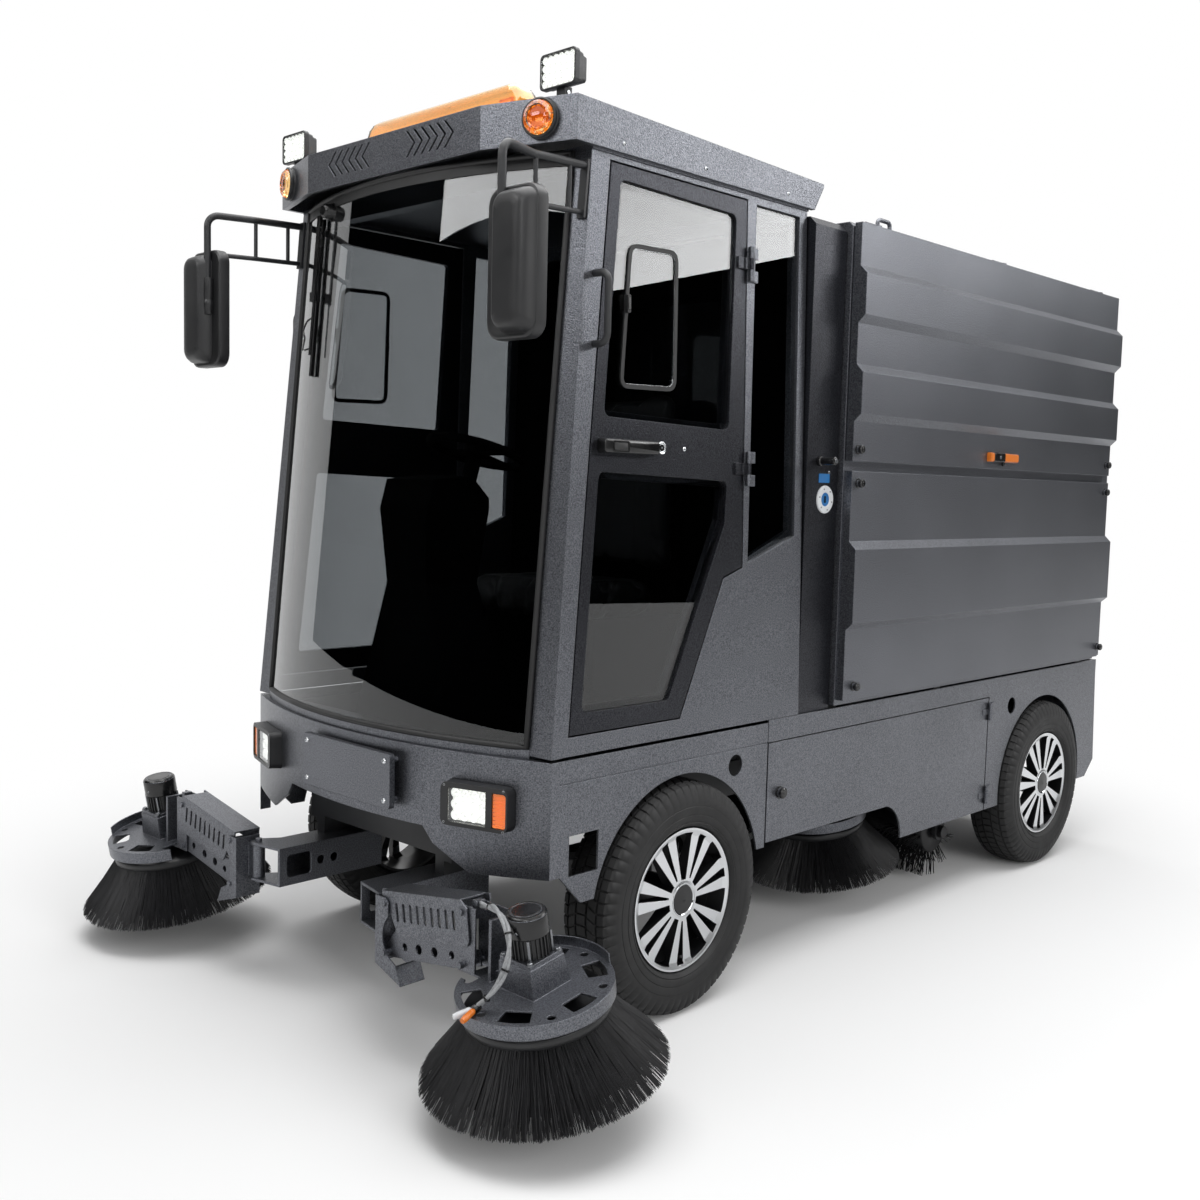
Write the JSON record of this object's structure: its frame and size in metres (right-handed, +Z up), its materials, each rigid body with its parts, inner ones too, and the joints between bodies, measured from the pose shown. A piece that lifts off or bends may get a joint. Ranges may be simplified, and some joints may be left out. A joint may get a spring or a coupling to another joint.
{
  "type": "street sweeper truck",
  "caption": "Compact cab street sweeper with a ribbed hopper, steered front wheels, lifting front brushes, brushes under the body, opening doors, hatches and tailgate.",
  "frame": {"origin": "on the ground under the middle of the whole machine", "axes": "+Z up, the truck faces -Y, +X is its left side"},
  "size_m": [2.022, 3.2278, 2.2053],
  "materials": {
    "powder_coat": "fine textured powder coat",
    "frame_paint": "satin black paint",
    "tyre": "ribbed road tyre",
    "alloy": "bright machined spokes",
    "tinted_glass": "dark tinted",
    "lamp": "black housing with clear lens",
    "amber": "amber lens",
    "black_plastic": "moulded, lightly grained",
    "bristle": "stiff synthetic bristles",
    "seat_cover": "sewn vinyl",
    "steel": "bare machined steel"
  },
  "bodies": {
    "chassis": {"chassis_frame": "frame_paint", "front_axle": "frame_paint", "rear_axle": "frame_paint", "battery_pack": "frame_paint", "front_bumper": "powder_coat", "lower_body": "powder_coat", "cab_frame": "powder_coat", "cab_tub": "frame_paint", "fixed_windows": "tinted_glass", "windshield": "tinted_glass", "roof_cap": "powder_coat", "seat_base": "frame_paint", "seat_pads": "seat_cover", "console": "black_plastic", "steering_wheel": "black_plastic", "hopper_box": "powder_coat", "lower_panels": "powder_coat", "service_bay": "powder_coat", "lamps": "lamp", "amber_lamps": "amber", "mirror_arms": "frame_paint", "mirror_heads": "black_plastic", "grab_handles": "frame_paint", "brush_arms": "powder_coat", "mid_brush_heads": "powder_coat"},
    "tie_rod": {"tie_rod": "steel"},
    "rear_door": {"rear_door": "powder_coat"},
    "roller_brush": {"roller_brush": "bristle"},
    "left_knuckle": {"left_knuckle": "frame_paint"},
    "left_front_wheel": {"left_front_tyre": "tyre", "left_front_rim": "alloy"},
    "left_rear_wheel": {"left_rear_tyre": "tyre", "left_rear_rim": "alloy"},
    "left_door": {"left_door": "powder_coat", "left_door_glass": "tinted_glass"},
    "left_service_door": {"left_service_door": "powder_coat"},
    "left_hatch": {"left_hatch": "powder_coat"},
    "left_brush_bracket": {"left_brush_bracket": "powder_coat"},
    "left_upper_link": {"left_upper_link": "powder_coat"},
    "left_lower_link": {"left_lower_link": "powder_coat"},
    "left_brush_head": {"left_brush_head": "powder_coat", "left_motor_cable": "black_plastic"},
    "left_brush": {"left_brush": "bristle"},
    "left_mid_brush": {"left_mid_brush": "bristle"},
    "right_knuckle": {"right_knuckle": "frame_paint"},
    "right_front_wheel": {"right_front_tyre": "tyre", "right_front_rim": "alloy"},
    "right_rear_wheel": {"right_rear_tyre": "tyre", "right_rear_rim": "alloy"},
    "right_door": {"right_door": "powder_coat", "right_door_glass": "tinted_glass"},
    "right_service_door": {"right_service_door": "powder_coat"},
    "right_hatch": {"right_hatch": "powder_coat"},
    "right_brush_bracket": {"right_brush_bracket": "powder_coat"},
    "right_upper_link": {"right_upper_link": "powder_coat"},
    "right_lower_link": {"right_lower_link": "powder_coat"},
    "right_brush_head": {"right_brush_head": "powder_coat"},
    "right_brush": {"right_brush": "bristle"},
    "right_mid_brush": {"right_mid_brush": "bristle"}
  },
  "joints": [
    {"name": "steer_left", "type": "hinge", "parent": "chassis", "child": "left_knuckle", "pos_m": [0.43, -0.756, 0.289], "axis": [0, 0, 1], "range_deg": [-28, 28]},
    {"name": "steer_right", "type": "hinge", "parent": "chassis", "child": "right_knuckle", "pos_m": [-0.43, -0.756, 0.289], "axis": [0, 0, 1], "range_deg": [-28, 28]},
    {"name": "tie_rod_swing", "type": "hinge", "parent": "left_knuckle", "child": "tie_rod", "pos_m": [0.43, -0.636, 0.2605], "axis": [0, 0, 1], "range_deg": [-28, 28]},
    {"name": "spin_left_front_wheel", "type": "hinge", "parent": "left_knuckle", "child": "left_front_wheel", "pos_m": [0.535, -0.756, 0.289], "axis": [1, 0, 0], "continuous": true},
    {"name": "spin_left_rear_wheel", "type": "hinge", "parent": "chassis", "child": "left_rear_wheel", "pos_m": [0.535, 1.176, 0.289], "axis": [1, 0, 0], "continuous": true},
    {"name": "left_door_hinge", "type": "hinge", "parent": "chassis", "child": "left_door", "pos_m": [0.598, -0.535, 0.69022], "axis": [-0.025, 0, 0.9997], "range_deg": [0, 80]},
    {"name": "left_service_door_hinge", "type": "hinge", "parent": "chassis", "child": "left_service_door", "pos_m": [0.596, 0.774, 0.45], "axis": [0, 0, 1], "range_deg": [0, 100]},
    {"name": "left_hatch_hinge", "type": "hinge", "parent": "chassis", "child": "left_hatch", "pos_m": [0.58, 0.695, 2.008], "axis": [0, -1, 0], "range_deg": [0, 85]},
    {"name": "left_brush_swing", "type": "hinge", "parent": "chassis", "child": "left_brush_bracket", "pos_m": [0.268, -1.396, 0.3175], "axis": [0, 0, 1], "range_deg": [-35, 8], "stiffness_Nm_per_rad": 60},
    {"name": "left_brush_lift", "type": "hinge", "parent": "left_brush_bracket", "child": "left_upper_link", "pos_m": [0.327, -1.403, 0.364], "axis": [0, -1, 0], "range_deg": [-16.5, 10]},
    {"name": "left_lower_link_pivot", "type": "hinge", "parent": "left_brush_bracket", "child": "left_lower_link", "pos_m": [0.327, -1.403, 0.252], "axis": [0, -1, 0], "range_deg": [-16.5, 10]},
    {"name": "left_head_pivot", "type": "hinge", "parent": "left_upper_link", "child": "left_brush_head", "pos_m": [0.58146, -1.403, 0.40658], "axis": [0, -1, 0], "range_deg": [-10, 16.5]},
    {"name": "spin_left_brush", "type": "hinge", "parent": "left_brush_head", "child": "left_brush", "pos_m": [0.753, -1.358, 0.116], "axis": [0, -0.1771, 0.9842], "continuous": true},
    {"name": "spin_left_mid_brush", "type": "hinge", "parent": "chassis", "child": "left_mid_brush", "pos_m": [0.276, 0.29, 0.116], "axis": [0, -0.1771, 0.9842], "continuous": true},
    {"name": "spin_right_front_wheel", "type": "hinge", "parent": "right_knuckle", "child": "right_front_wheel", "pos_m": [-0.535, -0.756, 0.289], "axis": [1, 0, 0], "continuous": true},
    {"name": "spin_right_rear_wheel", "type": "hinge", "parent": "chassis", "child": "right_rear_wheel", "pos_m": [-0.535, 1.176, 0.289], "axis": [1, 0, 0], "continuous": true},
    {"name": "right_door_hinge", "type": "hinge", "parent": "chassis", "child": "right_door", "pos_m": [-0.598, -0.535, 0.69022], "axis": [-0.025, 0, -0.9997], "range_deg": [0, 80]},
    {"name": "right_service_door_hinge", "type": "hinge", "parent": "chassis", "child": "right_service_door", "pos_m": [-0.596, 0.774, 0.45], "axis": [0, 0, -1], "range_deg": [0, 100]},
    {"name": "right_hatch_hinge", "type": "hinge", "parent": "chassis", "child": "right_hatch", "pos_m": [-0.58, 0.695, 2.008], "axis": [0, 1, 0], "range_deg": [0, 85]},
    {"name": "right_brush_swing", "type": "hinge", "parent": "chassis", "child": "right_brush_bracket", "pos_m": [-0.268, -1.396, 0.3175], "axis": [0, 0, -1], "range_deg": [-35, 8], "stiffness_Nm_per_rad": 60},
    {"name": "right_brush_lift", "type": "hinge", "parent": "right_brush_bracket", "child": "right_upper_link", "pos_m": [-0.327, -1.403, 0.364], "axis": [0, 1, 0], "range_deg": [-16.5, 10]},
    {"name": "right_lower_link_pivot", "type": "hinge", "parent": "right_brush_bracket", "child": "right_lower_link", "pos_m": [-0.327, -1.403, 0.252], "axis": [0, 1, 0], "range_deg": [-16.5, 10]},
    {"name": "right_head_pivot", "type": "hinge", "parent": "right_upper_link", "child": "right_brush_head", "pos_m": [-0.58146, -1.403, 0.40658], "axis": [0, 1, 0], "range_deg": [-10, 16.5]},
    {"name": "spin_right_brush", "type": "hinge", "parent": "right_brush_head", "child": "right_brush", "pos_m": [-0.753, -1.358, 0.116], "axis": [0, -0.1771, 0.9842], "continuous": true},
    {"name": "spin_right_mid_brush", "type": "hinge", "parent": "chassis", "child": "right_mid_brush", "pos_m": [-0.276, 0.29, 0.116], "axis": [0, -0.1771, 0.9842], "continuous": true},
    {"name": "rear_door_hinge", "type": "hinge", "parent": "chassis", "child": "rear_door", "pos_m": [0, 1.538, 2.008], "axis": [1, 0, 0], "range_deg": [0, 85]},
    {"name": "spin_roller_brush", "type": "hinge", "parent": "chassis", "child": "roller_brush", "pos_m": [0, 0.726, 0.166], "axis": [1, 0, 0], "continuous": true}
  ],
  "couplings": [
    {"joint": "steer_right", "follows": "steer_left", "ratio": 1},
    {"joint": "tie_rod_swing", "follows": "steer_left", "ratio": -1},
    {"joint": "left_lower_link_pivot", "follows": "left_brush_lift", "ratio": 1},
    {"joint": "left_head_pivot", "follows": "left_brush_lift", "ratio": -1},
    {"joint": "right_lower_link_pivot", "follows": "right_brush_lift", "ratio": 1},
    {"joint": "right_head_pivot", "follows": "right_brush_lift", "ratio": -1}
  ]
}
